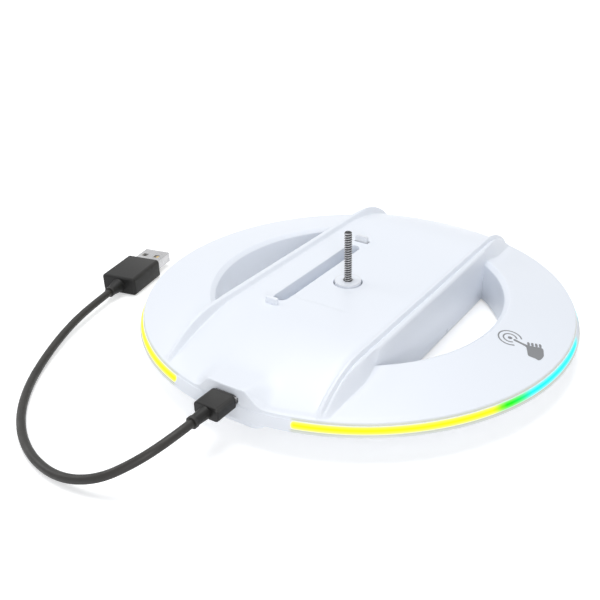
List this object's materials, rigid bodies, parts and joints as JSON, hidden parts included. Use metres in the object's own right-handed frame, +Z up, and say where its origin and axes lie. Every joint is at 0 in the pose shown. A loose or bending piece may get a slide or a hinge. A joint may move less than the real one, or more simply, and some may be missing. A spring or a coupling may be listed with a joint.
{
  "type": "game console stand",
  "caption": "Round white console stand with a raised ribbed bridge, two D-shaped openings, a captive upright screw, a lit rim and a detachable USB cable.",
  "frame": {"origin": "on the floor at the centre of the disc, under its feet", "axes": "+Z up, -Y towards the end with the USB-C port, +X to the right seen from the port end"},
  "size_m": [0.1982, 0.2145, 0.0435],
  "materials": {
    "white_shell": "satin white",
    "white_inner": "matt white",
    "light_strip": "frosted, lit from behind",
    "led_board": "white solder mask",
    "led_package": "gel-filled",
    "circuit_board": "green solder mask",
    "chip_black": "moulded epoxy",
    "component_tan": "matt",
    "connector_white": "nylon",
    "port_steel": "stainless",
    "port_plastic": "moulded",
    "copper_pad": "plain",
    "wire_jacket": "smooth",
    "foot_rubber": "matt",
    "screw_steel": "zinc plated",
    "thread_steel": "dark nickel",
    "knob_plastic": "matt",
    "cable_black": "satin black",
    "cable_jacket": "satin black",
    "usb_steel": "nickel plated",
    "contact_gold": "gold flash"
  },
  "bodies": {
    "base": {"top_cover": "white_shell", "bottom_cover": "white_shell", "inner_frame": "white_inner", "light_diffuser": "light_strip", "led_strip_board": "led_board", "leds": "led_package", "main_circuit_board": "circuit_board", "controller_chip": "chip_black", "board_components": "component_tan", "wire_connector": "connector_white", "usb_port_shell": "port_steel", "usb_port_tongue": "port_plastic", "touch_sensor_pad": "copper_pad", "touch_sensor_wire": "wire_jacket", "led_wires": "wire_jacket", "rubber_feet": "foot_rubber", "case_screws": "screw_steel", "frame_screws": "screw_steel", "board_screws": "screw_steel"},
    "screw_carriage": {"screw_washer": "screw_steel"},
    "screw": {"console_screw": "thread_steel", "screw_knob": "knob_plastic"},
    "cable": {"usb_c_plug_shell": "usb_steel", "usb_c_plug_body": "cable_black", "usb_c_strain_relief": "cable_black", "usb_cord": "cable_jacket", "usb_a_strain_relief": "cable_black", "usb_a_plug_body": "cable_black", "usb_a_plug_shell": "usb_steel", "usb_a_insulator": "connector_white", "usb_a_contacts": "contact_gold"}
  },
  "joints": [
    {"name": "screw_float", "type": "slide", "parent": "base", "child": "screw_carriage", "axis": [0, 0, 1], "range_m": [0, 0.003]},
    {"name": "screw_turn", "type": "hinge", "parent": "screw_carriage", "child": "screw", "pos_m": [0, -0.009, 0.03], "axis": [0, 0, 1], "continuous": true},
    {"name": "plug_pull", "type": "slide", "parent": "base", "child": "cable", "axis": [0, -1, 0], "range_m": [0, 0.01]}
  ]
}
